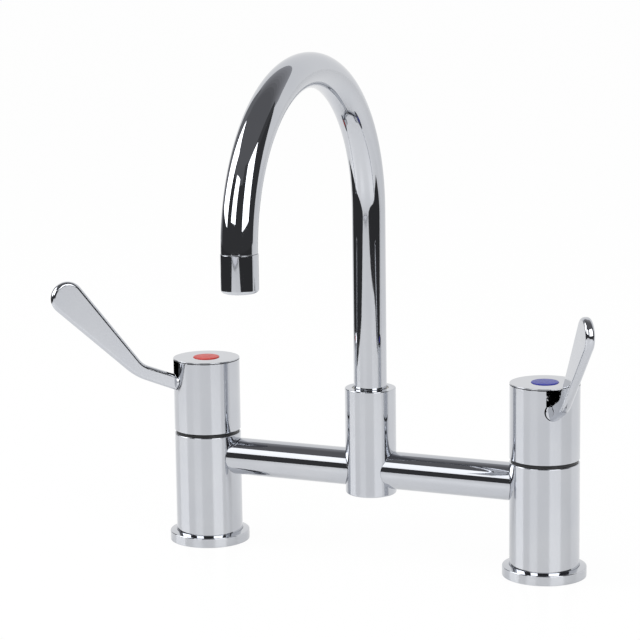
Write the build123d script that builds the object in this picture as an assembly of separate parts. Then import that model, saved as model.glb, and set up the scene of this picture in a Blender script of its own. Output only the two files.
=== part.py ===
# Bridge kitchen faucet with two long levers and a swivelling gooseneck spout.
# Millimetres, +Z up. The origin is midway between the two inlets, on the worktop.
# X runs along the bridge from the hot pillar to the cold one, and the spout points to -Y.
import os
from math import cos, radians, sin

from build123d import *

# ---------------------------------------------------------------- main sizes
inlet_spacing = 200.0
pillar_diameter = 37.5
body_height = 62.5            # worktop to the top of the fixed pillar body
handle_height = 41.5          # handle shell and cap together
bridge_diameter = 20.6
bridge_cover = 2.4            # pillar body above the top of the bridge
centre_diameter = 28.0
centre_skirt = 3.3            # centre body below the underside of the bridge
centre_rise = 45.7            # bridge's axis up to the top of the centre body
spout_diameter = 18.2
spout_wall = 1.3
arch_radius = 81.4
arch_spring_height = 193.6    # worktop to the level where the spout starts to bend
housing_step = 0.25           # aerator housing beyond the spout's surface
housing_length = 19.0

# ---------------------------------------------------------------- base flange
flange_overhang = 3.85        # flange beyond the pillar
flange_side = 3.9             # straight rim of the flange
flange_cone = 2.6             # sloping top above the rim
flange_edge_radius = 1.2
spigot_inset = 2.3            # pillar body's foot is this much slimmer than the pillar
gasket_inset = 1.6            # gasket's outer edge inside the flange's rim
gasket_width = 3.6
gasket_thickness = 1.5

# ---------------------------------------------------------------- waterways and bridge joints
inlet_radius = 9.3            # G 1/2 inner thread, drawn as its bore
inlet_length = 15.0
inlet_cone = 2.0              # above the thread, down to the waterway's radius
waterway_radius = 7.0
seat_depth = 19.8             # bridge's axis down to the ledge that the valve's seal sits on
chamber_radius = 11.5
chamber_headroom = 0.5        # chamber above the arm's bore
arm_step = 1.7                # arm's surface down to its spigot
arm_spigot_wall = 2.1
arm_spigot_length = 5.4       # in the pillar body
arm_braze_length = 4.0        # in the centre body
arm_ring_setback = 3.75       # pillar's surface to the middle of the o-ring

# ---------------------------------------------------------------- ceramic valve
thread_radius = 10.45         # valve thread in the neck of the pillar body
thread_undercut = 1.0
neck_wall = 2.45
neck_height = 5.5             # neck above the pillar body's top
cage_radius = 9.6             # valve body below its thread
cage_bore = 8.0
seal_thickness = 2.4
seal_lip = 1.0
seal_bore = 5.0
disc_thickness = 3.0
port_inner_radius = 2.2
port_outer_radius = 6.6
port_half_angle = 38.0
window_width = 9.0
window_height = 8.5
hexagon_flats = 22.0
hexagon_height = 5.0
journal_radius = 4.95         # spindle where it turns in the valve body
stem_radius = 3.4
spindle_flange_radius = 6.8
spindle_flange_height = 2.0
spline_radius = 4.1
spline_depth = 0.45
spline_count = 12
driver_length = 13.0          # bar on the spindle that turns the upper disc
driver_width = 5.0
driver_height = 3.0
driver_seat = 1.2             # slot in the upper disc for the bar
ring_section = 0.9            # radius of every o-ring's round section
ring_side_gap = 0.15
spindle_ring_pitch = 4.2
clip_thickness = 1.0
clip_width = 2.8
clip_groove_depth = 1.0
clip_opening = 70.0           # degrees left open in the spindle's clip

# ---------------------------------------------------------------- handle
seam_gap = 1.5                # dark gap between the pillar body and the handle
seam_inset = 0.8
shell_wall = 2.75
edge_radius = 0.45            # outer edges of the pillar body, shell and cap
cap_rim = 1.6                 # cap's rim that shows above the shell
cap_plate = 2.6
cap_spigot = 3.2
cap_spigot_wall = 2.4
indicator_diameter = 14.6
indicator_seat = 1.0
indicator_proud = 0.7
indicator_edge_radius = 0.3
core_headroom = 1.5           # spindle's clip up to the handle core
core_cover = 0.9              # core above the lever's eye
core_ledge = 1.2              # ledge inside the shell that the core rests on
core_ledge_height = 2.0
spindle_headroom = 0.6
screw_radius = 2.5
screw_hole_gap = 0.3
screw_length_below_core = 2.0
screw_head_radius = 4.5
screw_head_height = 3.0
screw_socket_flats = 4.0
screw_socket_depth = 2.0
hot_splay = -43.0             # closed lever's direction, degrees from straight ahead
cold_splay = 32.5

# ---------------------------------------------------------------- lever
lever_drop = 12.3             # handle's top down to the axis of the lever's root
root_radius = 4.4             # round root that shows in the keyhole slot
root_proud = 0.9              # root's face beyond the shell
eye_radius = 7.0
eye_thickness = 5.8
eye_overlap = 1.0             # root's end inside the eye's edge
lever_thickness = 4.8
lever_edge_radius = 1.9
lever_edge_start = 0.5        # shell's surface out to where the edges are rounded
neck_sink = 0.5               # neck's start below the root's axis
neck_half_height = 4.2
neck_run = 21.5               # shell's surface out to the bend
neck_rise = 8.8               # neck's start up to the bend
bend_half_height = 4.1
blade_run = 40.5              # bend out to the centre of the round tip
blade_rise = 44.2             # bend up to the centre of the round tip
tip_radius = 9.3
bend_inner_radius = 13.0
bend_outer_radius = 38.0

# ---------------------------------------------------------------- centre body and spout foot
foot_sleeve_wall = 0.55       # spout foot's wall round the tube's end
foot_wall = 3.2
foot_ledge = 2.0              # ledge under the foot in the centre body
foot_ledge_height = 12.7      # bridge's axis up to that ledge
foot_lift = 0.7
foot_shoulder = 1.0
lower_bearing_height = 3.5
bearing_groove_depth = 1.4
foot_ring_gap = 2.3           # lower bearing up to the middle of the first o-ring
foot_ring_pitch = 4.0
catch_pitch = 4.6             # upper o-ring up to the catch groove
catch_groove_width = 4.4
catch_groove_depth = 1.7
catch_screw_radius = 2.0
catch_screw_gap = 0.4
catch_screw_sink = 0.3
catch_screw_flats = 2.0
tube_seat_start = 4.6         # middle of the catch groove up to the tube's end
tube_seat_depth = 7.0
upper_bearing_sink = 0.6      # upper bearing below the centre body's top
centre_edge_chamfer = 0.5
centre_bottom_radius = 1.0
plug_step = 0.6               # plug's radius beyond the chamber's
plug_sink = 0.5
plug_length = 6.0
plug_socket_flats = 8.0
plug_socket_depth = 3.0

# ---------------------------------------------------------------- aerator
nipple_step = 0.8             # spout's surface down to its threaded end
nipple_length = 7.6
nipple_wall = 1.4
nipple_root = 0.8             # threaded end let into the tube
washer_thickness = 2.0
washer_width = 1.9
insert_height = 6.0
insert_slots = 8
insert_slot_width = 1.4
insert_slot_start = 3.0
insert_rim = 1.4
screen_thickness = 0.8
screen_pitch = 2.4
screen_hole = 1.6
screen_rim = 1.5
lip_width = 1.5
housing_bottom_radius = 1.8

# ---------------------------------------------------------------- clearances
running_fit = 0.05            # radial, a shaft that turns in its hole
rotor_gap = 0.3               # radial, faces that pass each other without guiding
seat_fit = 0.05               # radial, pieces that are pushed, screwed or brazed together
face_gap = 0.1                # axial, faces that slide past each other
slot_gap = 0.5                # lever's root in the keyhole slot
cutter_margin = 1.0           # cutting solids run this far beyond the metal

# ---------------------------------------------------------------- worked out: radii
pillar_radius = pillar_diameter / 2
bridge_radius = bridge_diameter / 2
centre_radius = centre_diameter / 2
spout_radius = spout_diameter / 2
tube_bore = spout_radius - spout_wall
housing_radius = spout_radius + housing_step
flange_radius = pillar_radius + flange_overhang
spigot_radius = pillar_radius - spigot_inset
gasket_outer = flange_radius - gasket_inset
gasket_inner = gasket_outer - gasket_width
arm_spigot_radius = bridge_radius - arm_step
arm_bore = arm_spigot_radius - arm_spigot_wall
neck_radius = thread_radius + neck_wall
journal_bore = journal_radius + running_fit
shell_bore = pillar_radius - shell_wall
indicator_radius = indicator_diameter / 2
foot_radius = spout_radius + seat_fit + foot_sleeve_wall
foot_bore = foot_radius - foot_wall
centre_bore = foot_radius + rotor_gap
centre_chamber_radius = centre_bore - foot_ledge
plug_radius = centre_chamber_radius + plug_step
nipple_radius = spout_radius - nipple_step
aerator_radius = nipple_radius - seat_fit
lip_radius = nipple_radius - lip_width

# ---------------------------------------------------------------- worked out: heights above the worktop
flange_height = flange_side + flange_cone
bridge_height = body_height - bridge_cover - bridge_radius
seat_height = bridge_height - seat_depth
chamber_top = bridge_height + arm_bore + chamber_headroom
thread_bottom = chamber_top + thread_undercut
neck_top = body_height + neck_height
valve_bottom = seat_height + seal_thickness
fixed_disc_bottom = valve_bottom + seal_lip
moving_disc_bottom = fixed_disc_bottom + disc_thickness + face_gap
moving_disc_top = moving_disc_bottom + disc_thickness
driver_bottom = moving_disc_top - driver_seat
window_top = moving_disc_top + window_height
hexagon_top = neck_top + hexagon_height
clip_bottom = hexagon_top + face_gap
clip_top = clip_bottom + clip_thickness
seam_top = body_height + seam_gap
handle_top = seam_top + handle_height
shell_top = handle_top - cap_rim
lever_height = handle_top - lever_drop
eye_bottom = lever_height - eye_thickness / 2
eye_top = lever_height + eye_thickness / 2
core_bottom = clip_top + core_headroom
core_top = eye_top + core_cover
spindle_top = eye_bottom - spindle_headroom
screw_bottom = core_bottom - screw_length_below_core
centre_bottom = bridge_height - bridge_radius - centre_skirt
centre_top = bridge_height + centre_rise
foot_bottom = bridge_height + foot_ledge_height + foot_lift
lower_bearing_bottom = foot_bottom + foot_shoulder
lower_bearing_top = lower_bearing_bottom + lower_bearing_height
first_ring_height = lower_bearing_top + foot_ring_gap
second_ring_height = first_ring_height + foot_ring_pitch
catch_height = second_ring_height + catch_pitch
tube_bottom = catch_height + tube_seat_start
foot_top = tube_bottom + tube_seat_depth
upper_bearing_top = centre_top - upper_bearing_sink
plug_top = centre_bottom + plug_length
nipple_bottom = arch_spring_height - nipple_length
washer_bottom = nipple_bottom - washer_thickness
insert_bottom = washer_bottom - insert_height
screen_bottom = insert_bottom - screen_thickness
housing_bottom = arch_spring_height - housing_length


# ---------------------------------------------------------------- shared shapes
def turned(*outline):
    """Solid of revolution about Z from its closed outline of (radius, height) points."""
    return revolve(Plane.XZ * make_face(Polyline(*outline, close=True)), Axis.Z)


def ring(outer, inner, bottom, top):
    """Plain ring about Z."""
    return turned((inner, bottom), (outer, bottom), (outer, top), (inner, top))


def rod(radius, bottom, top):
    """Plain round bar about Z."""
    return Pos(0, 0, bottom) * extrude(Circle(radius), top - bottom)


def block(size_x, size_y, bottom, top):
    """Rectangular bar about Z."""
    return Pos(0, 0, bottom) * extrude(Rectangle(size_x, size_y), top - bottom)


def hexagon(flats, bottom, top):
    """Hexagonal bar about Z."""
    return Pos(0, 0, bottom) * extrude(RegularPolygon(flats / 2, 6, major_radius=False), top - bottom)


def bar_x(radius, start, end, height=0.0):
    """Round bar along X between two places, at a height above the worktop."""
    return Pos(min(start, end), 0, height) * Rot(0, 90, 0) * rod(radius, 0, abs(end - start))


def bar_y(radius, start, end, height=0.0):
    """Round bar along Y between two places, at a height above the worktop."""
    return Pos(0, max(start, end), height) * Rot(90, 0, 0) * rod(radius, 0, abs(end - start))


def ring_seat(bore):
    """Bottom of the o-ring groove in a shaft that runs in the given bore."""
    return bore - running_fit - 2 * ring_section


def ring_groove(bore, height=0.0):
    """Metal that an o-ring's groove takes out of the shaft in the given bore."""
    half_width = ring_section + ring_side_gap
    return ring(bore + cutter_margin, ring_seat(bore), height - half_width, height + half_width)


def o_ring(bore, height=0.0):
    """O-ring in that groove."""
    return Pos(0, 0, height) * Torus(ring_seat(bore) + ring_section, ring_section)


def rims(solid, radius, height):
    """Round edges of one radius at one height."""
    circles = solid.edges().filter_by(GeomType.CIRCLE)
    level = circles.filter_by(lambda edge: abs(edge.center().Z - height) < 0.01)
    return level.filter_by(lambda edge: abs(edge.radius - radius) < 0.01)


# ---------------------------------------------------------------- fixed pillar
def pillar_body(towards_bridge):
    """Turned body with its foot, waterways, valve chamber, neck and the bridge arm's socket."""
    body = turned(
        (inlet_radius, 0), (spigot_radius, 0), (spigot_radius, flange_height),
        (pillar_radius, flange_height), (pillar_radius, body_height),
        (neck_radius, body_height), (neck_radius, neck_top), (thread_radius, neck_top),
        (thread_radius, thread_bottom), (chamber_radius, chamber_top),
        (chamber_radius, seat_height), (waterway_radius, seat_height),
        (waterway_radius, inlet_length + inlet_cone), (inlet_radius, inlet_length),
    )
    body = fillet(rims(body, pillar_radius, body_height), edge_radius)
    socket_floor = pillar_radius - arm_spigot_length
    socket_mouth = pillar_radius + cutter_margin
    socket = bar_x(arm_spigot_radius + seat_fit, socket_floor, socket_mouth, bridge_height)
    bore = bar_x(arm_bore, 0, pillar_radius, bridge_height)
    return Rot(0, 0, 90 - 90 * towards_bridge) * (body - socket - bore)


def base_flange():
    """Cover flange: straight rim, sloping top, and a recess below for the gasket."""
    bore = spigot_radius + seat_fit
    flange = turned(
        (bore, 0), (gasket_inner, 0), (gasket_inner, gasket_thickness),
        (gasket_outer, gasket_thickness), (gasket_outer, 0), (flange_radius, 0),
        (flange_radius, flange_side), (pillar_radius, flange_height), (bore, flange_height),
    )
    return fillet(rims(flange, flange_radius, flange_side), flange_edge_radius)


def base_gasket():
    """Flat rubber ring in the flange's recess."""
    return ring(gasket_outer - seat_fit, gasket_inner + seat_fit, 0, gasket_thickness)


def glide_ring():
    """Dark ring in the seam that the handle's shell turns on."""
    return ring(pillar_radius - seam_inset, neck_radius + seat_fit, body_height, seam_top - face_gap)


# ---------------------------------------------------------------- ceramic valve
def seat_seal():
    """Rubber seal between the pillar body's ledge and the fixed disc."""
    lip = cage_bore - seat_fit
    return turned(
        (seal_bore, seat_height), (cage_radius, seat_height), (cage_radius, valve_bottom),
        (lip, valve_bottom), (lip, fixed_disc_bottom), (seal_bore, fixed_disc_bottom),
    )


def disc_port():
    """Sector shaped opening of a ceramic disc, pointing to +X."""
    outer = CenterArc((0, 0), port_outer_radius, -port_half_angle, 2 * port_half_angle)
    inner = CenterArc((0, 0), port_inner_radius, -port_half_angle, 2 * port_half_angle)
    return make_face([outer, Line(outer @ 1, inner @ 1), inner, Line(inner @ 0, outer @ 0)])


def ceramic_disc(radius, bottom, direction):
    """Disc with two opposite ports."""
    outline = Circle(radius)
    for turn in (direction, direction + 180):
        outline -= Rot(0, 0, turn) * disc_port()
    return Pos(0, 0, bottom) * extrude(outline, disc_thickness)


def fixed_disc():
    """Lower ceramic disc, its ports along X."""
    return ceramic_disc(cage_bore - seat_fit, fixed_disc_bottom, 0)


def moving_disc():
    """Upper ceramic disc, closed with its ports along Y and a slot along X for the driver."""
    disc = ceramic_disc(cage_bore - running_fit, moving_disc_bottom, 90)
    slot = block(2 * cage_bore, driver_width + 2 * seat_fit, driver_bottom, moving_disc_top)
    return disc - slot


def cartridge_body():
    """Valve body: caged lower end with side windows, thread, and hexagon on the pillar's neck."""
    thread = thread_radius - seat_fit
    body = turned(
        (cage_bore, valve_bottom), (cage_radius, valve_bottom), (cage_radius, thread_bottom),
        (thread, thread_bottom), (thread, neck_top), (journal_bore, neck_top),
        (journal_bore, window_top), (cage_bore, window_top),
    )
    body += hexagon(hexagon_flats, neck_top, hexagon_top) - rod(journal_bore, neck_top, hexagon_top)
    return body - block(window_width, 2 * chamber_radius, moving_disc_top, window_top)


def spindle_ring_heights():
    """Middles of the two o-rings on the spindle."""
    upper = neck_top - ring_section - ring_side_gap
    return (upper - spindle_ring_pitch, upper)


def spline(grow, bottom, top):
    """Toothed bar about Z: the spindle's end, or with grow its hole in the handle core."""
    outer = spline_radius + grow
    outline = []
    for tooth in range(2 * spline_count):
        radius = outer - spline_depth * (tooth % 2)
        angle = radians(180 / spline_count * tooth)
        outline.append((radius * cos(angle), radius * sin(angle)))
    return Pos(0, 0, bottom) * extrude(make_face(Polyline(*outline, close=True)), top - bottom)


def spindle():
    """Driver bar, stem, flange, ringed journal, clip groove and splined end with a screw hole."""
    flange_top = window_top - face_gap
    flange_bottom = flange_top - spindle_flange_height
    shaft = block(driver_length, driver_width, driver_bottom, driver_bottom + driver_height)
    shaft += rod(stem_radius, driver_bottom + driver_height, flange_bottom)
    shaft += rod(spindle_flange_radius, flange_bottom, flange_top)
    shaft += rod(journal_radius, flange_top, clip_bottom)
    shaft += rod(journal_radius - clip_groove_depth, clip_bottom, clip_top)
    shaft += rod(journal_radius, clip_top, core_bottom)
    shaft += spline(0, core_bottom, spindle_top)
    for height in spindle_ring_heights():
        shaft -= ring_groove(journal_bore, height)
    return shaft - rod(screw_radius + seat_fit, screw_bottom - face_gap, spindle_top)


def spindle_o_rings():
    """The spindle's two o-rings."""
    return [o_ring(journal_bore, height) for height in spindle_ring_heights()]


def spindle_clip():
    """Open clip in the spindle's groove, on top of the valve body."""
    inner = journal_radius - clip_groove_depth + seat_fit
    outer = inner + clip_width
    arc = 360 - clip_opening
    profile = Plane.XZ * Pos(inner, clip_bottom) * Rectangle(
        outer - inner, clip_thickness, align=(Align.MIN, Align.MIN)
    )
    return revolve(profile, Axis.Z, revolution_arc=arc)


# ---------------------------------------------------------------- handle, lever straight ahead (-Y)
def keyhole():
    """Space that the lever's root needs in the shell's front wall, open at the top."""
    half_width = root_radius + slot_gap
    outline = Circle(half_width) + Rectangle(
        2 * half_width, shell_top - lever_height + cutter_margin, align=(Align.CENTER, Align.MIN)
    )
    front = Plane.XZ.offset(shell_bore / 2) * outline
    return Pos(0, 0, lever_height) * extrude(front, pillar_radius)


def handle_shell():
    """Turned shell with the keyhole slot and an inner ledge for the core."""
    ledge_bore = shell_bore - core_ledge
    shell = turned(
        (shell_bore, seam_top), (pillar_radius, seam_top), (pillar_radius, shell_top),
        (shell_bore, shell_top), (shell_bore, core_bottom), (ledge_bore, core_bottom),
        (ledge_bore, core_bottom - core_ledge_height),
        (shell_bore, core_bottom - core_ledge_height - core_ledge),
    )
    shell = fillet(rims(shell, pillar_radius, seam_top), edge_radius)
    return shell - keyhole()


def handle_cap():
    """Round cap with a spigot that is pushed into the shell and a seat for the indicator."""
    spigot = shell_bore - seat_fit
    seat = indicator_radius + seat_fit
    cap = turned(
        (0, handle_top - cap_plate), (spigot - cap_spigot_wall, handle_top - cap_plate),
        (spigot - cap_spigot_wall, shell_top - cap_spigot), (spigot, shell_top - cap_spigot),
        (spigot, shell_top), (pillar_radius, shell_top), (pillar_radius, handle_top),
        (seat, handle_top), (seat, handle_top - indicator_seat), (0, handle_top - indicator_seat),
    )
    return fillet(rims(cap, pillar_radius, handle_top), edge_radius)


def indicator():
    """Coloured disc that stands a little proud of the cap."""
    top = handle_top + indicator_proud
    disc = rod(indicator_radius, handle_top - indicator_seat, top)
    return fillet(rims(disc, indicator_radius, top), indicator_edge_radius)


def handle_core():
    """Block that carries the lever's root and eye on the spindle's splines."""
    core = rod(shell_bore - seat_fit, core_bottom, core_top)
    core -= spline(seat_fit, core_bottom, spindle_top + face_gap)
    core -= rod(screw_radius + screw_hole_gap, spindle_top, eye_bottom)
    core -= rod(eye_radius + seat_fit, eye_bottom, core_top)
    channel_radius = root_radius + seat_fit
    core -= bar_y(channel_radius, 0, -shell_bore, lever_height)
    channel = Pos(0, -shell_bore / 2, 0) * block(2 * channel_radius, shell_bore, lever_height, core_top)
    return core - channel


def lever_outline():
    """Side view of the neck and blade: (distance from the handle's axis, height)."""
    root = Vector(pillar_radius, lever_height - neck_sink)
    bend = root + Vector(neck_run, neck_rise)
    tip = bend + Vector(blade_run, blade_rise)
    neck_up = (bend - root).normalized().rotate(Axis.Z, 90)
    blade_up = (tip - bend).normalized().rotate(Axis.Z, 90)
    bend_up = (neck_up + blade_up).normalized() * bend_half_height
    tip_up = blade_up * tip_radius
    neck_root_up = neck_up * neck_half_height
    plate = make_face(Polyline(
        root + neck_root_up, bend + bend_up, tip + tip_up,
        tip - tip_up, bend - bend_up, root - neck_root_up, close=True,
    ))
    inner_corner = plate.vertices().sort_by_distance(bend + bend_up)[0]
    plate = fillet(inner_corner, bend_inner_radius)
    outer_corner = plate.vertices().sort_by_distance(bend - bend_up)[0]
    plate = fillet(outer_corner, bend_outer_radius)
    return plate + Pos(tip.X, tip.Y) * Circle(tip_radius)


def lever():
    """Bent plate with rounded edges, its round root and the eye that the handle screw clamps."""
    side_view = Plane(origin=(0, 0, 0), x_dir=(0, -1, 0), z_dir=(-1, 0, 0))
    plate = extrude(side_view * lever_outline(), lever_thickness / 2, both=True)
    sides = plate.faces().sort_by(Axis.X)
    outline_edges = sides[0].edges() + sides[-1].edges()
    start = -pillar_radius - lever_edge_start
    plate = fillet(outline_edges.filter_by(lambda edge: edge.center().Y < start), lever_edge_radius)
    root = bar_y(root_radius, -eye_radius + eye_overlap, -pillar_radius - root_proud, lever_height)
    eye = rod(eye_radius, eye_bottom, eye_top)
    hole = rod(screw_radius + screw_hole_gap, eye_bottom, eye_top + root_radius)
    return plate + root + eye - hole


def handle_screw():
    """Socket screw that clamps the lever's eye and the core on the spindle."""
    head_top = eye_top + screw_head_height
    screw = rod(screw_radius, screw_bottom, eye_top) + rod(screw_head_radius, eye_top, head_top)
    return screw - hexagon(screw_socket_flats, head_top - screw_socket_depth, head_top)


# ---------------------------------------------------------------- bridge
def bridge_arm(side):
    """Tube from the pillar to the centre body, shaped to both, with a spigot in each."""
    pillar_x = side * inlet_spacing / 2
    pillar_floor = pillar_x - side * (pillar_radius - arm_spigot_length)
    centre_floor = side * (centre_radius - arm_braze_length)
    arm = bar_x(bridge_radius, pillar_x, 0, bridge_height)
    arm -= Pos(pillar_x, 0, 0) * rod(pillar_radius + seat_fit, 0, body_height)
    arm -= rod(centre_radius + seat_fit, 0, centre_top)
    arm += bar_x(arm_spigot_radius, pillar_floor, centre_floor, bridge_height)
    arm -= bar_x(arm_bore, pillar_x, 0, bridge_height)
    return arm - arm_ring_place(side) * ring_groove(arm_spigot_radius + seat_fit)


def arm_ring_place(side):
    """Where the arm's o-ring lies in the pillar body's socket."""
    distance = inlet_spacing / 2 - pillar_radius + arm_ring_setback
    return Pos(side * distance, 0, bridge_height) * Rot(0, 90, 0)


def centre_body():
    """Turned body with the arms' sockets, the spout's bore and a rear hole for the catch screw."""
    body = turned(
        (plug_radius, centre_bottom), (centre_radius, centre_bottom), (centre_radius, centre_top),
        (centre_bore, centre_top), (centre_bore, bridge_height + foot_ledge_height),
        (centre_chamber_radius, bridge_height + foot_ledge_height),
        (centre_chamber_radius, plug_top), (plug_radius, plug_top),
    )
    body = fillet(rims(body, centre_radius, centre_bottom), centre_bottom_radius)
    body = chamfer(rims(body, centre_radius, centre_top), centre_edge_chamfer)
    mouth = centre_radius + cutter_margin
    for side in (-1, 1):
        floor = side * (centre_radius - arm_braze_length)
        body -= bar_x(arm_spigot_radius + seat_fit, floor, side * mouth, bridge_height)
        body -= bar_x(arm_bore, 0, floor, bridge_height)
    return body - bar_y(catch_screw_radius + seat_fit, 0, mouth, catch_height)


def centre_plug():
    """Screwed plug that closes the centre body from below, with a hexagon socket."""
    bottom = centre_bottom + plug_sink
    plug = rod(plug_radius - seat_fit, bottom, plug_top)
    plug -= ring_groove(plug_radius, plug_ring_height())
    return plug - hexagon(plug_socket_flats, bottom, bottom + plug_socket_depth)


def plug_ring_height():
    """Middle of the plug's o-ring."""
    return plug_top - 2 * ring_section


def spout_retaining_screw():
    """Headless rear screw whose end runs in the spout foot's groove."""
    tip = foot_radius - catch_groove_depth + catch_screw_gap
    outer = centre_radius - catch_screw_sink
    screw = bar_y(catch_screw_radius, tip, outer, catch_height)
    socket = hexagon(catch_screw_flats, 0, catch_screw_flats)
    return screw - Pos(0, outer, catch_height) * Rot(90, 0, 0) * socket


# ---------------------------------------------------------------- spout
def spout_foot():
    """Turned end of the spout with its bearing groove, o-ring grooves, catch groove and tube seat."""
    half_catch = catch_groove_width / 2
    tube_seat = spout_radius + seat_fit
    foot = turned(
        (foot_bore, foot_bottom), (foot_radius, foot_bottom), (foot_radius, foot_top),
        (tube_seat, foot_top), (tube_seat, tube_bottom), (foot_bore, tube_bottom),
    )
    bearing_seat = foot_radius - bearing_groove_depth
    foot -= ring(centre_bore, bearing_seat, lower_bearing_bottom, lower_bearing_top)
    foot -= ring_groove(centre_bore, first_ring_height)
    foot -= ring_groove(centre_bore, second_ring_height)
    catch_seat = foot_radius - catch_groove_depth
    return foot - ring(centre_bore, catch_seat, catch_height - half_catch, catch_height + half_catch)


def lower_bearing_ring():
    """Plain ring in the foot's lowest groove."""
    inner = foot_radius - bearing_groove_depth + seat_fit
    return ring(centre_bore - running_fit, inner, lower_bearing_bottom, lower_bearing_top)


def upper_bearing_ring():
    """Plain ring round the tube, a little below the centre body's top."""
    return ring(centre_bore - running_fit, spout_radius + seat_fit, foot_top, upper_bearing_top)


def spout_tube():
    """Riser and half-circle arch in one tube, with a slimmer threaded end for the aerator."""
    top = arch_spring_height
    riser = Line((0, 0, tube_bottom), (0, 0, top))
    arch = ThreePointArc((0, 0, top), (0, -arch_radius, top + arch_radius), (0, -2 * arch_radius, top))
    section = Circle(spout_radius) - Circle(tube_bore)
    tube = sweep(Plane.XY.offset(tube_bottom) * section, path=Wire([riser, arch]))
    nipple = ring(nipple_radius, nipple_radius - nipple_wall, nipple_bottom, top + nipple_root)
    return tube + at_outlet(nipple)


def at_outlet(piece):
    """A piece made about Z, moved under the end of the arch."""
    return Pos(0, -2 * arch_radius, 0) * piece


def aerator_housing():
    """Sleeve screwed on the spout's end, with a lip below that holds the aerator."""
    bore = nipple_radius + seat_fit
    top = arch_spring_height - seat_fit
    housing = turned(
        (lip_radius, housing_bottom), (housing_radius, housing_bottom), (housing_radius, top),
        (bore, top), (bore, screen_bottom), (lip_radius, screen_bottom),
    )
    return fillet(rims(housing, housing_radius, housing_bottom), housing_bottom_radius)


def aerator_insert():
    """Plastic body with radial slots that break up the water."""
    insert = rod(aerator_radius, insert_bottom, washer_bottom)
    slot_end = aerator_radius - insert_rim
    length = slot_end - insert_slot_start
    slot = Pos((slot_end + insert_slot_start) / 2, 0, 0) * block(
        length, insert_slot_width, insert_bottom, washer_bottom
    )
    for index in range(insert_slots):
        insert -= Rot(0, 0, index * 360 / insert_slots) * slot
    return insert


def aerator_screen():
    """Steel screen with a square grid of holes."""
    screen = Circle(aerator_radius)
    reach = int(aerator_radius // screen_pitch)
    steps = range(-reach, reach + 1)
    for column in steps:
        for row in steps:
            corner = Vector(abs(column), abs(row)) * screen_pitch + Vector(1, 1) * screen_hole / 2
            if corner.length < aerator_radius - screen_rim:
                hole = Rectangle(screen_hole, screen_hole)
                screen -= Pos(column * screen_pitch, row * screen_pitch) * hole
    return Pos(0, 0, screen_bottom) * extrude(screen, screen_thickness)


def aerator_washer():
    """Rubber washer between the spout's end and the insert."""
    return ring(aerator_radius, aerator_radius - washer_width, washer_bottom, nipple_bottom)


# ---------------------------------------------------------------- all pieces
def side_pieces(name, side, splay):
    """Every piece of one pillar and its handle. The valve stands turned by the lever's splay."""
    at_pillar = Pos(side * inlet_spacing / 2, 0, 0)
    at_valve = at_pillar * Rot(0, 0, splay)
    return {
        name + "_pillar_body": at_pillar * pillar_body(-side),
        name + "_base_flange": at_pillar * base_flange(),
        name + "_base_gasket": at_pillar * base_gasket(),
        name + "_glide_ring": at_pillar * glide_ring(),
        name + "_seat_seal": at_valve * seat_seal(),
        name + "_fixed_disc": at_valve * fixed_disc(),
        name + "_cartridge_body": at_valve * cartridge_body(),
        name + "_bridge_arm": bridge_arm(side),
        name + "_moving_disc": at_valve * moving_disc(),
        name + "_spindle": at_valve * spindle(),
        name + "_spindle_o_rings": [at_valve * one for one in spindle_o_rings()],
        name + "_spindle_clip": at_valve * spindle_clip(),
        name + "_handle_core": at_valve * handle_core(),
        name + "_handle_screw": at_valve * handle_screw(),
        name + "_handle_shell": at_valve * handle_shell(),
        name + "_handle_cap": at_pillar * handle_cap(),
        name + "_indicator": at_pillar * indicator(),
        name + "_lever": at_valve * lever(),
    }


def middle_pieces():
    """Every piece of the bridge's middle and of the spout."""
    return {
        "bridge_arm_o_rings": [arm_ring_place(side) * o_ring(arm_spigot_radius + seat_fit) for side in (-1, 1)],
        "centre_body": centre_body(),
        "centre_plug": centre_plug(),
        "centre_plug_o_ring": o_ring(plug_radius, plug_ring_height()),
        "spout_retaining_screw": spout_retaining_screw(),
        "spout_tube": spout_tube(),
        "spout_foot": spout_foot(),
        "spout_o_rings": [o_ring(centre_bore, height) for height in (first_ring_height, second_ring_height)],
        "spout_lower_bearing": lower_bearing_ring(),
        "spout_upper_bearing": upper_bearing_ring(),
        "aerator_housing": at_outlet(aerator_housing()),
        "aerator_insert": at_outlet(aerator_insert()),
        "aerator_screen": at_outlet(aerator_screen()),
        "aerator_washer": at_outlet(aerator_washer()),
    }


pieces = side_pieces("hot", -1, hot_splay)
pieces.update(side_pieces("cold", 1, cold_splay))
pieces.update(middle_pieces())

os.makedirs("parts", exist_ok=True)
for node, piece in pieces.items():
    solids = piece if isinstance(piece, list) else [piece]
    export_step(Compound(children=[solid for part in solids for solid in part.solids()]), f"parts/{node}.step")
print(len(pieces), "pieces written")
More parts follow.
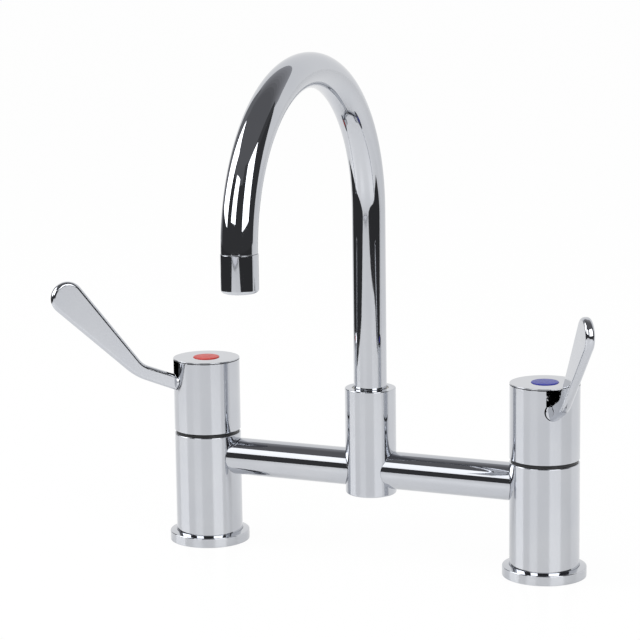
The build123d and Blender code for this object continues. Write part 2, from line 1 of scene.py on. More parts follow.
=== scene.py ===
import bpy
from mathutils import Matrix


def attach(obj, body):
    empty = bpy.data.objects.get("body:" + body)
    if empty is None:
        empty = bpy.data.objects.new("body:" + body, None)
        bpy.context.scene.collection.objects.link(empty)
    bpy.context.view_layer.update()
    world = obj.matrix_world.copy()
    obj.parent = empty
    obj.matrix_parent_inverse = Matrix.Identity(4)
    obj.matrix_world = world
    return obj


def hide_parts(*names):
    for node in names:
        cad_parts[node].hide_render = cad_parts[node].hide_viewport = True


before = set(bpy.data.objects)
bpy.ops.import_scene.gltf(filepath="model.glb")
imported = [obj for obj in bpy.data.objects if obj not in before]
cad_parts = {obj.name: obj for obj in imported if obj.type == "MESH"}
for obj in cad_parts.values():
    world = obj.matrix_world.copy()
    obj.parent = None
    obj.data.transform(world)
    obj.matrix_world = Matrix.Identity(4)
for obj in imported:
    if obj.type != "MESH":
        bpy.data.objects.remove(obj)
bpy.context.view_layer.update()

# Bridge kitchen faucet with two long levers and a gooseneck spout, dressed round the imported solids.
# Sizes are written in millimetres and meshes are in metres, +Z up. X runs along the bridge from the
# hot pillar to the cold one, the spout points to -Y, and the origin is on the worktop between them.
import math

import bmesh
import bpy
from mathutils import Matrix, Vector

mm = 0.001
sides = {"hot": -1, "cold": 1}
pillar_x = 100.0


# ================================================================ base flanges
# The ring that each pillar stands in: a straight rim, a rounded shoulder and a slight slope up to the pillar.
# Turned brass, polished and chrome plated; a step in the pillar's foot holds it down on its gasket.
class Wire:
    """One output in a finish's node tree. Sums, products and powers of wires add their own Math nodes."""

    def __init__(self, tree, socket=None):
        self.tree, self.socket = tree, socket

    def node(self, kind, settings=None, values=None, out=0):
        """Adds a node, its settings before its inputs' values or wires, and gives one output if it has any."""
        made = self.tree.nodes.new("ShaderNode" + kind)
        for name, value in (settings or {}).items():
            setattr(made, name, value)
        for name, value in (values or {}).items():
            if isinstance(value, Wire):
                self.tree.links.new(value.socket, made.inputs[name])
            else:
                made.inputs[name].default_value = value
        return Wire(self.tree, made.outputs[out] if made.outputs else None)

    def math(self, operation, first, second=0.0):
        return self.node("Math", {"operation": operation}, {0: first, 1: second})

    def __add__(self, other):
        return self.math("ADD", self, other)

    def __radd__(self, other):
        return self.math("ADD", other, self)

    def __sub__(self, other):
        return self.math("SUBTRACT", self, other)

    def __rsub__(self, other):
        return self.math("SUBTRACT", other, self)

    def __mul__(self, other):
        return self.math("MULTIPLY", self, other)

    def __rmul__(self, other):
        return self.math("MULTIPLY", other, self)

    def __pow__(self, other):
        return self.math("POWER", self, other)

    def scaled(self, factors):
        """This place, stretched by a factor along each axis."""
        return self.node("VectorMath", {"operation": "MULTIPLY"}, {0: self, 1: factors})

    def clouds(self, scale, detail=2.0, roughness=0.5):
        """Soft noise from 0 to 1 at this place."""
        values = {"Vector": self, "Scale": scale, "Detail": detail, "Roughness": roughness}
        return self.node("TexNoise", None, values)

    def specks(self, scale):
        """Distance to the nearest of many scattered points at this place."""
        return self.node("TexVoronoi", {"feature": "F1"}, {"Vector": self, "Scale": scale})

    def between(self, low, high):
        """0 below low, 1 above high, and smooth in between."""
        values = {"Value": self, "From Min": low, "From Max": high}
        return self.node("MapRange", {"interpolation_type": "SMOOTHSTEP"}, values)

    def colour(self, first, second):
        """Colour that goes from the first to the second as this mask goes from 0 to 1."""
        return self.node("Mix", {"data_type": "RGBA"}, {0: self, 6: first, 7: second}, out=2)

    def bump(self, strength, depth):
        """Normal of a surface that this height roughens by that depth in metres."""
        return self.node("Bump", None, {"Height": self, "Strength": strength, "Distance": depth})


def finish(name, fixed):
    """New material for a slot, with its shader's fixed values. Gives it and the place on the piece."""
    made = bpy.data.materials.new(name + "_coat")
    made["slot"] = name
    made.use_nodes = True
    for socket, value in fixed.items():
        made.node_tree.nodes["Principled BSDF"].inputs[socket].default_value = value
    return made, Wire(made.node_tree).node("TexCoord", out=3)


def feed(made, wires):
    """Joins wires to the sockets of a finish's shader."""
    for socket, wire in wires.items():
        made.node_tree.links.new(wire.socket, made.node_tree.nodes["Principled BSDF"].inputs[socket])


def chrome_finish(shaded_joint=None):
    """Bright chromium over polished brass: a faint haze, fine wiping marks and a barely uneven plate.

    Between two heights in millimetres, inside a joint, it is dull and dark: painted shade in the seam.
    """
    made, place = finish("chrome_plate", {"Metallic": 1.0})
    haze = place.clouds(28.0, 3.0)
    wiping = place.scaled((1.0, 1.0, 0.16)).clouds(420.0, 4.0, 0.65)
    plate = place.clouds(95.0, 1.5)
    colour = haze.between(0.35, 0.7).colour((0.545, 0.562, 0.6, 1), (0.575, 0.59, 0.622, 1))
    roughness = 0.03 + 0.035 * haze * wiping
    # Painted shade: a dark, dull band between the two heights where the seam between cap and shell lies.
    if shaded_joint:
        low, high = shaded_joint
        fade = 0.02
        height = place.node("SeparateXYZ", None, {"Vector": place}, out=2)
        joint_shade = height.between((low - fade) * mm, low * mm) - height.between(high * mm, (high + fade) * mm)
        colour = joint_shade.colour(colour, (0.012, 0.012, 0.016, 1))
        roughness += 0.5 * joint_shade
    feed(made, {"Base Color": colour, "Roughness": roughness, "Normal": plate.bump(0.05, 0.0002)})
    return made


chrome = chrome_finish()


def rounded(corners, steps=6):
    """Outline through (radius, height, rounding) corners, with an arc of a few points at each rounded one."""
    outline = []
    for index, corner in enumerate(corners):
        here = Vector(corner[:2])
        if len(corner) == 2:
            outline.append(here)
            continue
        back = (Vector(corners[index - 1][:2]) - here).normalized()
        ahead = (Vector(corners[(index + 1) % len(corners)][:2]) - here).normalized()
        half = back.angle(ahead) / 2
        centre = here + (back + ahead).normalized() * corner[2] / math.sin(half)
        first = here + back * corner[2] / math.tan(half) - centre
        last = here + ahead * corner[2] / math.tan(half) - centre
        turn = first.angle_signed(last)
        for step in range(steps + 1):
            outline.append(centre + Matrix.Rotation(-turn * step / steps, 2) @ first)
    return outline


def wound(outline, place_of, steps=144):
    """Closed skin that takes each (radius, distance) of the outline round an axis, through place_of."""
    skin = bmesh.new()
    rings = []
    for radius, distance in outline:
        if radius < 1e-6:
            rings.append([skin.verts.new(place_of(0.0, distance, 0.0))] * steps)
        else:
            turns = [math.tau * step / steps for step in range(steps)]
            rings.append([skin.verts.new(place_of(radius, distance, turn)) for turn in turns])
    for ring, following in zip(rings, rings[1:] + rings[:1]):
        for step in range(steps):
            after = (step + 1) % steps
            corners = dict.fromkeys((ring[step], ring[after], following[after], following[step]))
            if len(corners) > 2:
                skin.faces.new(list(corners))
    return skin


def upright(radius, height, turn):
    """Place on a piece that is turned about the vertical."""
    return (radius * math.cos(turn), radius * math.sin(turn), height)


def piece(name, skin, place=Matrix()):
    """Object of a skin drawn in millimetres, shaded smooth up to its real edges."""
    bmesh.ops.transform(skin, matrix=Matrix.Scale(mm, 4) @ place, verts=skin.verts)
    bmesh.ops.recalc_face_normals(skin, faces=skin.faces)
    mesh = bpy.data.meshes.new(name)
    skin.to_mesh(mesh)
    skin.free()
    made = bpy.data.objects.new(name, mesh)
    bpy.context.scene.collection.objects.link(made)
    return made


def smoothed(made):
    """Smooth shading with crisp edges, and flat faces kept flat up to their rounded rims."""
    for face in made.data.polygons:
        face.use_smooth = True
    made.data.set_sharp_from_angle(angle=math.radians(38))
    even = made.modifiers.new("even_normals", "WEIGHTED_NORMAL")
    even.keep_sharp = True
    return made


def fitted(made, coat, body, *nodes):
    """Gives a piece its coat and the body that it rides on, and hides the solids that it stands for."""
    made.data.materials.clear()
    made.data.materials.append(coat)
    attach(smoothed(made), body)
    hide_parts(*nodes)


def at_pillar(side):
    return Matrix.Translation((side * pillar_x, 0, 0))


pillar_radius, step_height = 18.75, 5.5
flange_section = [
    (16.5, 0), (17.4, 0, 0.15), (17.4, 1.5), (21.0, 1.5), (21.0, 0, 0.15), (22.6, 0, 0.35),
    (22.6, 5.4, 0.5), (pillar_radius + 0.1, 5.99, 0.25), (pillar_radius + 0.1, step_height),
    (16.5, step_height, 0.2),
]
for name, side in sides.items():
    flange = piece(name + "_flange", wound(rounded(flange_section), upright), at_pillar(side))
    fitted(flange, chrome, "faucet_body", name + "_base_flange")


# ================================================================ gaskets
# Flat ring under each flange that seals it to the worktop, a little inside the rim.
# Punched from black rubber sheet: matt, with a fine pebbled skin and pale dust in its pores.
def rubber_finish():
    made, place = finish("black_rubber", {"Metallic": 0.0})
    pebbles = place.specks(1600.0)
    dust = place.clouds(300.0, 5.0).between(0.5, 0.75)
    feed(made, {
        "Base Color": dust.colour((0.022, 0.022, 0.023, 1), (0.055, 0.054, 0.052, 1)),
        "Roughness": 0.62 + 0.2 * dust,
        "Normal": pebbles.bump(0.35, 0.0001),
    })
    return made


def repainted(coat, *nodes):
    """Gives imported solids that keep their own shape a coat."""
    for node in nodes:
        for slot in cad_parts[node].material_slots:
            slot.material = coat


rubber = rubber_finish()
repainted(rubber, "hot_base_gasket", "cold_base_gasket")


# ================================================================ pillar bodies
# The two fixed pillars, with the waterway, the valve's chamber and thread, and the bridge's socket.
# Turned from brass bar, bored from the side for the bridge, polished and chrome plated.
def carved(made, tool, how="DIFFERENCE"):
    """Cuts a tool out of a piece, or joins it on, and takes the tool away."""
    change = made.modifiers.new("carve", "BOOLEAN")
    change.object = tool
    change.operation = how
    change.solver = "EXACT"
    graph = bpy.context.evaluated_depsgraph_get()
    mesh = bpy.data.meshes.new_from_object(made.evaluated_get(graph))
    made.modifiers.clear()
    made.data = mesh
    bpy.data.objects.remove(tool)


bridge_height = 49.8


def along_bridge(radius, distance, turn):
    """Place on a piece that is turned about the bridge's axis."""
    return (distance, radius * math.cos(turn), bridge_height + radius * math.sin(turn))


pillar_section = [
    (9.3, 0, 0.3), (16.45, 0, 0.3), (16.45, step_height), (pillar_radius, step_height, 0.15),
    (pillar_radius, 20), (pillar_radius, 34), (pillar_radius, 37), (pillar_radius, 62.5, 0.45),
    (12.9, 62.5, 0.3), (12.9, 68, 0.3), (10.45, 68, 0.3),
    (10.45, 57.8), (11.5, 56.8), (11.5, 30), (7, 30, 0.2), (7, 17), (9.3, 15),
]
socket_section = [(0, 0), (6.5, 0), (6.5, 13.35), (8.65, 13.35), (8.65, 20), (0, 20)]
for name, side in sides.items():
    pillar = piece(name + "_pillar", wound(rounded(pillar_section), upright), at_pillar(side))
    inward = at_pillar(side) @ Matrix.Scale(-side, 4, (1, 0, 0))
    carved(pillar, piece("socket_drill", wound(rounded(socket_section), along_bridge), inward))
    fitted(pillar, chrome, "faucet_body", name + "_pillar_body")


# ================================================================ ceramic valves
# Inside each pillar: a rubber seal, two lapped ceramic discs, the turned valve body and its spindle,
# two o-rings and a spring clip. Fired alumina, machined brass and stainless steel, all held by a thread.
def brass_finish():
    made, place = finish("brass", {"Metallic": 1.0})
    rings = place.scaled((1.0, 1.0, 14.0)).clouds(260.0, 3.0)
    tarnish = place.clouds(90.0, 4.0).between(0.4, 0.75)
    feed(made, {
        "Base Color": tarnish.colour((0.72, 0.56, 0.3, 1), (0.52, 0.38, 0.19, 1)),
        "Roughness": 0.2 + 0.18 * rings,
        "Normal": rings.bump(0.3, 0.00005),
    })
    return made


def steel_finish():
    made, place = finish("stainless_steel", {"Metallic": 1.0})
    brushing = place.scaled((1.0, 12.0, 12.0)).clouds(500.0, 3.0)
    feed(made, {
        "Base Color": brushing.colour((0.55, 0.55, 0.55, 1), (0.66, 0.66, 0.65, 1)),
        "Roughness": 0.2 + 0.2 * brushing,
        "Normal": brushing.bump(0.2, 0.00004),
    })
    return made


def ceramic_finish():
    made, place = finish("ceramic", {"Metallic": 0.0})
    body = place.clouds(500.0, 4.0)
    feed(made, {
        "Base Color": body.colour((0.84, 0.82, 0.77, 1), (0.93, 0.92, 0.89, 1)),
        "Roughness": 0.12 + 0.14 * body,
        "Normal": body.bump(0.1, 0.00003),
    })
    return made


brass, steel, ceramic = brass_finish(), steel_finish(), ceramic_finish()
for name in sides:
    repainted(rubber, name + "_seat_seal", name + "_spindle_o_rings")
    repainted(ceramic, name + "_fixed_disc", name + "_moving_disc")
    repainted(brass, name + "_cartridge_body", name + "_spindle")
    repainted(steel, name + "_spindle_clip")


# ================================================================ glide rings
# The dark ring that shows in the seam under each handle; the handle's shell turns on it.
# Moulded black nylon, slightly glossy where the shell has run on it.
def nylon_finish(name, dark, pale):
    made, place = finish(name, {"Metallic": 0.0})
    mould = place.clouds(900.0, 3.0)
    worn = place.clouds(140.0, 2.0).between(0.45, 0.7)
    feed(made, {
        "Base Color": worn.colour(dark, pale),
        "Roughness": 0.5 - 0.16 * worn,
        "Normal": mould.bump(0.25, 0.00005),
    })
    return made


black_nylon = nylon_finish("black_nylon", (0.006, 0.006, 0.007, 1), (0.016, 0.016, 0.018, 1))
repainted(black_nylon, "hot_glide_ring", "cold_glide_ring")


# ================================================================ handle shells
# The turning upper half of each pillar, with a keyhole slot in its wall for the lever's root.
# Turned brass tube, slotted with a round cutter, polished and plated; the joint under the cap is painted dark
# as shade.
closed_turn = {"hot": -43.0, "cold": 32.5}
root_height = 93.2
joint_low, joint_high = 104.55, 104.97


def valve_turn(name):
    """The closed valve, with its handle and lever, as it stands on its pillar."""
    return at_pillar(sides[name]) @ Matrix.Rotation(math.radians(closed_turn[name]), 4, "Z")


def keyhole_tool(steps=32):
    """Cutter for the slot in front of the lever's root, round at the bottom and open at the top."""
    reach, half, open_end = 4.9, 4.0, 108
    start = math.acos(half / reach)
    outline = [(half, open_end), (-half, open_end)]
    for step in range(steps + 1):
        turn = math.pi - start + (math.pi + 2 * start) * step / steps
        outline.append((reach * math.cos(turn), root_height + reach * math.sin(turn)))
    skin = bmesh.new()
    near = [skin.verts.new((x, -8, z)) for x, z in outline]
    far = [skin.verts.new((x, -21, z)) for x, z in outline]
    skin.faces.new(near)
    skin.faces.new(far)
    for index in range(len(outline)):
        skin.faces.new((near[index - 1], near[index], far[index], far[index - 1]))
    return skin


# Chrome for shells and caps, with painted shade in the seam under the cap.
joint_shaded_chrome = chrome_finish(shaded_joint=(joint_low - 0.01, joint_high + 0.01))
shell_section = [
    (16.0, 64.3, 0.3), (pillar_radius, 64.3, 0.45), (pillar_radius, 75), (pillar_radius, 86),
    (pillar_radius, joint_low, 0.15), (16.0, joint_low, 0.12), (16.0, 75.6), (14.8, 75.6),
    (14.8, 73.6), (16.0, 72.4),
]
for name in sides:
    shell = piece(name + "_shell", wound(rounded(shell_section), upright, 180), valve_turn(name))
    carved(shell, piece("keyhole_cutter", keyhole_tool(), valve_turn(name)))
    fitted(shell, joint_shaded_chrome, name + "_handle", name + "_handle_shell")


# ================================================================ handle cores
# The block in each shell that sits on the spindle's splines and takes the lever's root and eye.
# Machined brass, held down through the eye by a stainless socket screw.
def core_shade_finish():
    """Unpolished brass inside a handle, coloured near black as painted shade for the dark inside of the
    keyhole.
    """
    made, place = finish("core_shade_brass", {"Metallic": 1.0})
    mottle = place.clouds(70.0, 4.0).between(0.3, 0.7)
    # Painted shade: both colours are near black so the core reads as the shadowed inside of the handle.
    feed(made, {
        "Base Color": mottle.colour((0.07, 0.06, 0.05, 1), (0.03, 0.028, 0.026, 1)),
        "Roughness": 0.42 + 0.15 * mottle,
        "Normal": place.clouds(600.0, 3.0).bump(0.3, 0.00005),
    })
    return made


core_shade_brass = core_shade_finish()
for name in sides:
    repainted(core_shade_brass, name + "_handle_core")
    repainted(steel, name + "_handle_screw")


# ================================================================ levers
# Long bent blade that ends in a round paddle, with its round root in the keyhole and an eye inside.
# Forged brass, ground flat on both sides with well rounded edges, polished and chrome plated.
def towards(start, end):
    return (end - start).normalized()


def beside(direction):
    """Direction a quarter turn to the left, which is up for one that leads outwards."""
    return Vector((-direction.y, direction.x))


def touch(corner, centre, radius, upper):
    """Where a straight side from the corner meets a round end smoothly."""
    reach = corner - centre
    swing = math.acos(radius / reach.length) * (1 if upper else -1)
    return centre + Matrix.Rotation(-swing, 2) @ reach.normalized() * radius


def lever_outline():
    """Side view of neck, bend and paddle: distance from the handle's axis, and height."""
    root, bend, tip = Vector((pillar_radius, 92.7)), Vector((40.25, 101.5)), Vector((80.75, 145.7))
    half_neck, half_bend, paddle_radius, paddle_steps = 4.2, 4.1, 9.3, 40
    above_bend, below_bend = 13.0, 38.0
    neck, blade = towards(root, bend), towards(bend, tip)
    inside = root - neck * 1.4
    across = (beside(neck) + beside(blade)).normalized() * half_bend
    top = touch(bend + across, tip, paddle_radius, True)
    low = touch(bend - across, tip, paddle_radius, False)
    first = math.atan2(*(top - tip).yx)
    last = math.atan2(*(low - tip).yx)
    turns = [first + (last - first) * step / paddle_steps for step in range(1, paddle_steps)]
    paddle = [tip + Vector((math.cos(turn), math.sin(turn))) * paddle_radius for turn in turns]
    corners = [
        tuple(inside - beside(neck) * half_neck), tuple(inside + beside(neck) * half_neck),
        (*(bend + across), above_bend), tuple(top), *[tuple(point) for point in paddle],
        tuple(low), (*(bend - across), below_bend),
    ]
    return rounded(corners, 14)


def lever_blade():
    """The bent plate, 4.8 mm thick, as rings of its outline that draw in over each rounded edge."""
    outline, half, edge = lever_outline(), 2.4, 1.9
    inward = []
    for index, here in enumerate(outline):
        run = towards(outline[index - 1], outline[(index + 1) % len(outline)])
        inward.append(-beside(run))
    arc = [math.radians(90 * step / 7) for step in range(8)]
    levels = [(edge * (1 - math.cos(turn)), half - edge + edge * math.sin(turn)) for turn in reversed(arc)]
    levels += [(draw, -level) for draw, level in reversed(levels)]
    skin = bmesh.new()
    rings = []
    for draw, level in levels:
        line = [here + into * draw for here, into in zip(outline, inward)]
        rings.append([skin.verts.new((level, -point.x, point.y)) for point in line])
    skin.faces.new(rings[0])
    skin.faces.new(rings[-1])
    for ring, following in zip(rings, rings[1:]):
        for index in range(len(ring)):
            skin.faces.new((ring[index - 1], ring[index], following[index], following[index - 1]))
    return skin


def along_root(radius, distance, turn):
    """Place on the lever's round root, which points straight ahead."""
    return (radius * math.cos(turn), -distance, root_height + radius * math.sin(turn))


root_section = [(0, 6), (4.4, 6), (4.4, 19.65, 0.3), (0, 19.65)]
eye_section = [(0, 90.3), (7.0, 90.3, 0.4), (7.0, 96.1, 0.4), (0, 96.1)]
screw_hole_section = [(0, 88), (2.8, 88), (2.8, 100), (0, 100)]
for name in sides:
    lever = piece(name + "_long_lever", lever_blade(), valve_turn(name))
    root = piece("lever_root", wound(rounded(root_section), along_root, 96), valve_turn(name))
    carved(lever, root, "UNION")
    carved(lever, piece("lever_eye", wound(rounded(eye_section), upright, 96), valve_turn(name)), "UNION")
    carved(lever, piece("eye_drill", wound(rounded(screw_hole_section), upright, 64), valve_turn(name)))
    fitted(lever, chrome, name + "_handle", name + "_lever")


# ================================================================ handle caps
# Round lid flush with each shell over a fine groove, with a shallow seat for the coloured indicator.
# Turned brass with a spigot that is pressed into the shell, polished and chrome plated.
def box_tool(low, high):
    """Straight block between two corners, in millimetres."""
    skin = bmesh.new()
    corners = [skin.verts.new((x, y, z)) for z in (low[2], high[2]) for x, y in (
        (low[0], low[1]), (high[0], low[1]), (high[0], high[1]), (low[0], high[1]))]
    for face in ((3, 2, 1, 0), (4, 5, 6, 7), (0, 1, 5, 4), (1, 2, 6, 5), (2, 3, 7, 6), (3, 0, 4, 7)):
        skin.faces.new([corners[index] for index in face])
    return skin


cap_top, seat = 105.5, 104.5
cap_section = [
    (0, 102.9), (13.55, 102.9), (13.55, 100.7), (15.95, 100.7, 0.2), (15.95, joint_low), (18.2, joint_low),
    (18.2, joint_high), (pillar_radius, joint_high, 0.06), (pillar_radius, cap_top, 0.3),
    (7.35, cap_top, 0.25), (7.35, seat), (0, seat),
]
for name, side in sides.items():
    cap = piece(name + "_cap", wound(rounded(cap_section), upright, 180), at_pillar(side))
    carved(cap, piece("cap_relief", box_tool((-4.6, -17.9, 100.2), (4.6, -10, 104.3)), valve_turn(name)))
    fitted(cap, joint_shaded_chrome, name + "_handle", name + "_handle_cap")


# ================================================================ indicators
# Small crowned disc in each cap, red for hot and blue for cold, that stands a little proud.
# Moulded in coloured plastic with a faint flow pattern and a softly glossy skin.
def indicator_finish(name, deep, light):
    made, place = finish(name, {
        "Metallic": 0.0, "Subsurface Weight": 0.08, "Subsurface Scale": 0.001,
    })
    flow = place.scaled((1.0, 2.2, 1.0)).clouds(160.0, 4.0)
    skin = place.clouds(1400.0, 2.0)
    feed(made, {
        "Base Color": flow.between(0.3, 0.75).colour(deep, light),
        "Roughness": 0.33 + 0.12 * skin,
        "Normal": skin.bump(0.12, 0.00005),
    })
    return made


indicator_colours = {
    "hot": ("red_plastic", (0.48, 0.026, 0.018, 1), (0.56, 0.044, 0.034, 1)),
    "cold": ("blue_plastic", (0.024, 0.03, 0.27, 1), (0.042, 0.05, 0.36, 1)),
}
indicator_section = [
    (0, seat), (7.3, seat, 0.1), (7.3, 105.95, 0.4), (5.6, 106.1), (3.6, 106.17), (1.6, 106.2), (0, 106.2),
]
for name, side in sides.items():
    disc = piece(name + "_indicator_disc", wound(rounded(indicator_section), upright, 96), at_pillar(side))
    fitted(disc, indicator_finish(*indicator_colours[name]), name + "_handle", name + "_indicator")


# ================================================================ bridge arms
# The two tubes between the pillars and the middle body, coped to fit round both.
# Brass tube, brazed into the middle body; each outer end has a spigot with an o-ring in the pillar.
def arm_skin():
    """The cold side's arm, its rings bent to the pillar at one end and to the middle body at the other."""
    radius_out, radius_spigot, radius_in, edge, runs = 10.3, 8.6, 6.5, 0.25, 12
    groove_start, groove_end, groove_radius = 83.95, 86.05, 6.8
    pillar_end, middle_end = pillar_x - 13.35, 10.0

    def at_middle(y):
        return math.sqrt(14.05 ** 2 - y * y)

    def at_pillar_wall(y):
        return pillar_x - math.sqrt(18.8 ** 2 - y * y)

    stops = []
    for angle in range(0, 91, 15):
        draw = edge * (1 - math.sin(math.radians(angle)))
        drop = edge * (1 - math.cos(math.radians(angle)))
        stops.append((radius_out - drop, draw))
    rows = [(radius, lambda y, gap=draw: at_middle(y) + gap) for radius, draw in reversed(stops)]
    for part in range(1, runs):
        rows.append((radius_out, lambda y, t=part / runs: at_middle(y) * (1 - t) + at_pillar_wall(y) * t))
    rows += [(radius, lambda y, gap=draw: at_pillar_wall(y) - gap) for radius, draw in stops]
    rows.append((radius_spigot, at_pillar_wall))
    for radius, x in (
        (radius_spigot, groove_start), (groove_radius, groove_start), (groove_radius, groove_end),
        (radius_spigot, groove_end), (radius_spigot, pillar_end), (radius_in, pillar_end),
        (radius_in, middle_end), (radius_spigot, middle_end),
    ):
        rows.append((radius, lambda y, x=x: x))
    rows.append((radius_spigot, at_middle))
    outline = [(radius, index) for index, (radius, _) in enumerate(rows)]

    def place_of(radius, index, turn):
        y = radius * math.cos(turn)
        return (rows[index][1](y), y, bridge_height + radius * math.sin(turn))

    return wound(outline, place_of)


for name, side in sides.items():
    arm = piece(name + "_arm", arm_skin(), Matrix.Scale(side, 4, (1, 0, 0)))
    fitted(arm, chrome, "faucet_body", name + "_bridge_arm")
repainted(rubber, "bridge_arm_o_rings")


# ================================================================ middle body
# The upright body that the spout turns in, with the bridge's two sockets and a catch screw behind.
# Turned brass, chrome plated, closed below by a screwed brass plug with a hexagon socket.
def across_back(radius, distance, turn):
    """Place on the catch screw's hole, drilled straight in from behind."""
    catch_height = 78.6
    return (radius * math.cos(turn), distance, catch_height + radius * math.sin(turn))


middle_section = [
    (8.6, 36.2, 0.3), (14, 36.2, 1.0), (14, 60.5), (14, 76), (14, 81), (14, 95.5, 0.6), (10, 95.5, 0.3),
    (10, 62.5), (8, 62.5), (8, 42.2), (8.6, 42.2),
]
arm_socket_section = [(0, 0), (6.5, 0), (6.5, 10.0), (8.65, 10.0), (8.65, 15), (0, 15)]
catch_hole_section = [(0, 5), (2.05, 5), (2.05, 15), (0, 15)]
middle = piece("middle_body", wound(rounded(middle_section), upright))
for side in sides.values():
    mirror = Matrix.Scale(side, 4, (1, 0, 0))
    carved(middle, piece("arm_socket_drill", wound(rounded(arm_socket_section), along_bridge), mirror))
carved(middle, piece("catch_drill", wound(rounded(catch_hole_section), across_back, 48)))
fitted(middle, chrome, "faucet_body", "centre_body")
repainted(chrome, "centre_plug")
repainted(rubber, "centre_plug_o_ring")
repainted(steel, "spout_retaining_screw")


# ================================================================ spout foot
# The spout's lower end, which turns in the middle body on two plain rings between two o-rings.
# Turned brass soldered round the tube; the rings are natural nylon, the o-rings black rubber.
natural_nylon = nylon_finish("natural_nylon", (0.74, 0.71, 0.63, 1), (0.84, 0.82, 0.76, 1))
repainted(brass, "spout_foot")
repainted(rubber, "spout_o_rings")
repainted(natural_nylon, "spout_lower_bearing", "spout_upper_bearing")


# ================================================================ spout tube
# The tall gooseneck: a straight riser and a half circle of the same tube, with a threaded end.
# Drawn brass tube, bent round a former, polished along its length and chrome plated.
foot_height, spring_height, arch_radius = 83.2, 193.6, 81.4
bend_start = spring_height - foot_height
tube_end = bend_start + math.pi * arch_radius
thread_end = tube_end + 7.6


def along_spout(radius, distance, turn):
    """Place on the spout, from its end in the foot, up the riser and over the half circle."""
    bend = min(max(distance - bend_start, 0.0) / arch_radius, math.pi)
    straight = min(distance, bend_start)
    drop = max(distance - tube_end, 0.0)
    out = radius * math.cos(turn)
    middle_y = arch_radius * (math.cos(bend) - 1)
    middle_z = foot_height + straight + arch_radius * math.sin(bend) - drop
    return (radius * math.sin(turn), middle_y + out * math.cos(bend), middle_z + out * math.sin(bend))


def divided(outline, longest):
    """Outline with its long runs cut into equal shorter ones."""
    full = []
    for index, here in enumerate(outline):
        ahead = outline[(index + 1) % len(outline)]
        count = max(1, math.ceil((ahead - here).length / longest))
        full += [here.lerp(ahead, part / count) for part in range(count)]
    return full


tube_radius = 9.05
tube_section = [
    (7.8, 0, 0.2), (tube_radius, 0, 0.3), (tube_radius, bend_start), (tube_radius, tube_end, 0.25),
    (8.3, tube_end), (8.3, thread_end, 0.3), (6.9, thread_end, 0.2), (6.9, tube_end - 0.8),
    (7.8, tube_end - 0.8), (7.8, bend_start),
]
tube = piece("gooseneck_tube", wound(divided(rounded(tube_section), 2.6), along_spout, 72))
fitted(tube, chrome, "spout", "spout_tube")


# ================================================================ aerator
# Sleeve on the spout's end with a rubber washer, a slotted nylon body and a fine steel screen in it.
# Turned brass, chrome plated, with a rounded mouth whose lip holds the screen.
mouth, sleeve_top, sleeve_radius = 174.6, 193.55, 9.3
housing_section = [
    (6.8, mouth, 0.4), (sleeve_radius, mouth, 1.8), (sleeve_radius, sleeve_top, 0.2), (8.35, sleeve_top),
    (8.35, 177.2), (6.8, 177.2, 0.3),
]
at_outlet = Matrix.Translation((0, -2 * arch_radius, 0))
housing = piece("outlet_sleeve", wound(rounded(housing_section), upright), at_outlet)
fitted(housing, chrome, "spout", "aerator_housing")
repainted(natural_nylon, "aerator_insert")
repainted(steel, "aerator_screen")
repainted(rubber, "aerator_washer")


# ================================================================ studio
# White table under plain soft light from three soft boxes round the front, in a black surround with a
# grey ceiling that only bright metal sees. Nothing here belongs to the faucet.
def emptied(owner):
    """Empties the node tree of a material or world, and gives the wire that its nodes start from."""
    owner.use_nodes = True
    owner.node_tree.nodes.clear()
    return Wire(owner.node_tree)


def seen_directly(start):
    """1 where the camera itself looks, and 0 elsewhere."""
    return start.node("LightPath", out=0)


def seen_in_metal(start):
    """1 where bright metal or glass looks, and 0 elsewhere."""
    return start.math("MAXIMUM", start.node("LightPath", out=3), start.node("LightPath", out=6))


def plain_coat(name, colour, camera_share, metal_share):
    """Pale satin coat, shown to the camera and to bright metal with that share of plain white."""
    made = bpy.data.materials.new(name)
    start = emptied(made)
    satin = start.node("BsdfPrincipled", None, {"Base Color": colour, "Roughness": 0.29})
    white = start.node("Emission", None, {"Color": (1, 1, 1, 1), "Strength": 1.0})
    share = seen_directly(start) * camera_share + seen_in_metal(start) * metal_share
    mixed = start.node("MixShader", None, {0: share, 1: satin, 2: white})
    start.node("OutputMaterial", None, {"Surface": mixed})
    return made


def glow_coat(name, level):
    """Even grey that no lamp changes, for the cards."""
    made = bpy.data.materials.new(name)
    start = emptied(made)
    glow = start.node("Emission", None, {"Color": (level, level, level * 1.04, 1)})
    start.node("OutputMaterial", None, {"Surface": glow})
    return made


def sheet_of(name, corners, coat):
    """Flat stage sheet through its corners, in metres."""
    mesh = bpy.data.meshes.new(name)
    mesh.from_pydata(corners, [], [tuple(range(len(corners)))])
    made = bpy.data.objects.new(name, mesh)
    made.data.materials.append(coat)
    bpy.context.scene.collection.objects.link(made)
    return made


def card(name, corners, level):
    """Card that only bright surfaces see."""
    made = sheet_of(name, corners, glow_coat(name, level))
    made.visible_camera = made.visible_diffuse = made.visible_shadow = False
    made.visible_transmission = made.visible_volume_scatter = False


surround_reach = 1.7
surround_middle = Vector((0.0, -0.16, 0.21))


def seen_from_spout(bearing, rise, reach=surround_reach):
    """Point of the surround in that direction from the spout's end: bearing from straight ahead, and rise."""
    turn, lift = math.radians(bearing), math.radians(rise)
    flat = Vector((math.sin(turn), -math.cos(turn), math.tan(lift)))
    return surround_middle + flat * reach


def upright_card(name, first, last, low, high, level):
    """Strip of the surround between two bearings, in flat panels."""
    count = max(1, round((last - first) / 10))
    for index in range(count):
        left = first + (last - first) * index / count
        right = first + (last - first) * (index + 1) / count
        corners = ((left, low), (right, low), (right, high), (left, high))
        card(f"{name}_{index}", [seen_from_spout(*corner) for corner in corners], level)


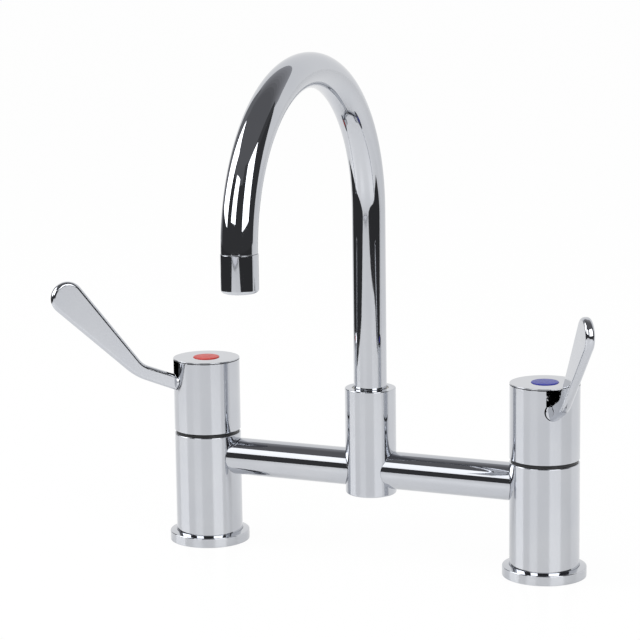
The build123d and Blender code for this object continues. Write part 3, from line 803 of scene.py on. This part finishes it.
sheet_of("table_top", [(-8, -8, 0), (8, -8, 0), (8, 8, 0), (-8, 8, 0)],
         plain_coat("white_table", (0.9, 0.9, 0.9, 1), 0.95, 0.4))
beyond_table = [
    (-0.52, 0.0), (-0.52, -0.3), (-0.43, -0.6), (-0.43, -1.15), (-0.4, -1.31), (0.45, -1.31), (0.5, -1.0),
    (0.56, -0.8), (0.7, -0.52), (0.7, -0.36), (0.58, -0.2), (0.56, 0.03), (4, 1.3), (4, -4), (-4, -4),
    (-4, 2.0), (-0.6, 0.3),
]
card("dark_floor", [(x, y, 0.001) for x, y in beyond_table], 0.04)
front_sheet = [(-0.55, -1.33), (-0.65, -1.62), (0.75, -1.62), (0.6, -1.33)]
card("front_sheet", [(x, y, 0.002) for x, y in front_sheet], 0.95)
upright_card("dark_surround", -102, 118, -8, 34, 0.05)
upright_card("upper_surround", -102, 20, 34, 48, 0.14)
upright_card("upper_right_surround", 20, 118, 34, 48, 0.07)
upright_card("grey_corner", -125, -102, -8, 48, 0.2)
ceiling, half_width = 1.95, 2.2


def ceiling_strip(name, near, far, level):
    """Strip across the ceiling between two places along Y."""
    corners = [(-half_width, near), (half_width, near), (half_width, far), (-half_width, far)]
    card(name, [(x, y, ceiling) for x, y in corners], level)


ceiling_strip("grey_ceiling", -2.2, 0.2, 0.145)
strip_depth = 0.14
for index in range(8):
    near = 0.2 + strip_depth * index
    ceiling_strip(f"pale_ceiling_{index}", near, near + strip_depth, 0.155 + 0.032 * index)


def soft_box(name, first, last, low, high, level, reach=1.5):
    """Soft box of that even brightness that fills the bearings and rises given, as the spout sees it."""
    low_left, low_right = seen_from_spout(first, low, reach), seen_from_spout(last, low, reach)
    top_left = seen_from_spout(first, high, reach)
    lamp = bpy.data.lights.new(name, "AREA")
    lamp.shape = "RECTANGLE"
    lamp.size, lamp.size_y = (low_right - low_left).length, (top_left - low_left).length
    lamp.energy = level * math.pi * lamp.size * lamp.size_y
    made = bpy.data.objects.new(name, lamp)
    across, upward = (low_right - low_left).normalized(), (top_left - low_left).normalized()
    turned = Matrix((across, upward, across.cross(upward))).transposed().to_4x4()
    made.matrix_world = Matrix.Translation((low_right + top_left) / 2) @ turned
    bpy.context.scene.collection.objects.link(made)
    return made


soft_box("left_box", -98, -58, 4, 43, 3.9)
middle_box = soft_box("middle_box", -30, -2, 10, 38, 3.2)
soft_box("right_box", 41, 79, 4, 43, 3.2)
bridge_box = soft_box("bridge_box", -60, 0, 20, 54, 1.55, 1.45)
# The bridge's arms have a box of their own, and the middle box leaves them out.
for lamp, state in ((bridge_box, "INCLUDE"), (middle_box, "EXCLUDE")):
    receivers = bpy.data.collections.new(lamp.name + "_receivers")
    lamp.light_linking.receiver_collection = receivers
    for name in sides:
        receivers.objects.link(bpy.data.objects[name + "_arm"])
    for member in receivers.collection_objects:
        member.light_linking.link_state = state

world = bpy.data.worlds.new("pale_room")
bpy.context.scene.world = world
room = emptied(world)
brightness = 0.75 + 0.25 * seen_directly(room) + 0.18 * seen_in_metal(room)
backdrop = room.node("Background", None, {"Color": (1, 1, 1, 1), "Strength": brightness})
room.node("OutputWorld", None, {"Surface": backdrop})

bpy.context.scene.view_settings.view_transform = "Standard"


# ================================================================ camera
# Long lens from the front right, a little above, at the photograph's place and turn.
eye = Vector((0.48245, -1.16843, 0.36632))
heading, slope, roll = math.radians(25.21), math.radians(10.35), math.radians(-1.04)
ahead = Vector((-math.sin(heading) * math.cos(slope), math.cos(heading) * math.cos(slope), -math.sin(slope)))
level = ahead.cross(Vector((0, 0, 1))).normalized()
up = level.cross(ahead)
right_side = math.cos(roll) * level + math.sin(roll) * up
top_side = -math.sin(roll) * level + math.cos(roll) * up
lens = bpy.data.cameras.new("camera")
focal_pixels, picture_pixels = 2354.54, 640
lens.sensor_width = 36.0
lens.lens = focal_pixels * lens.sensor_width / picture_pixels
lens.shift_x, lens.shift_y = 0.0978, -0.0049
camera = bpy.data.objects.new("camera", lens)
camera.matrix_world = Matrix.Translation(eye) @ Matrix((right_side, top_side, -ahead)).transposed().to_4x4()
bpy.context.scene.collection.objects.link(camera)
bpy.context.scene.camera = camera

bpy.context.view_layer.update()
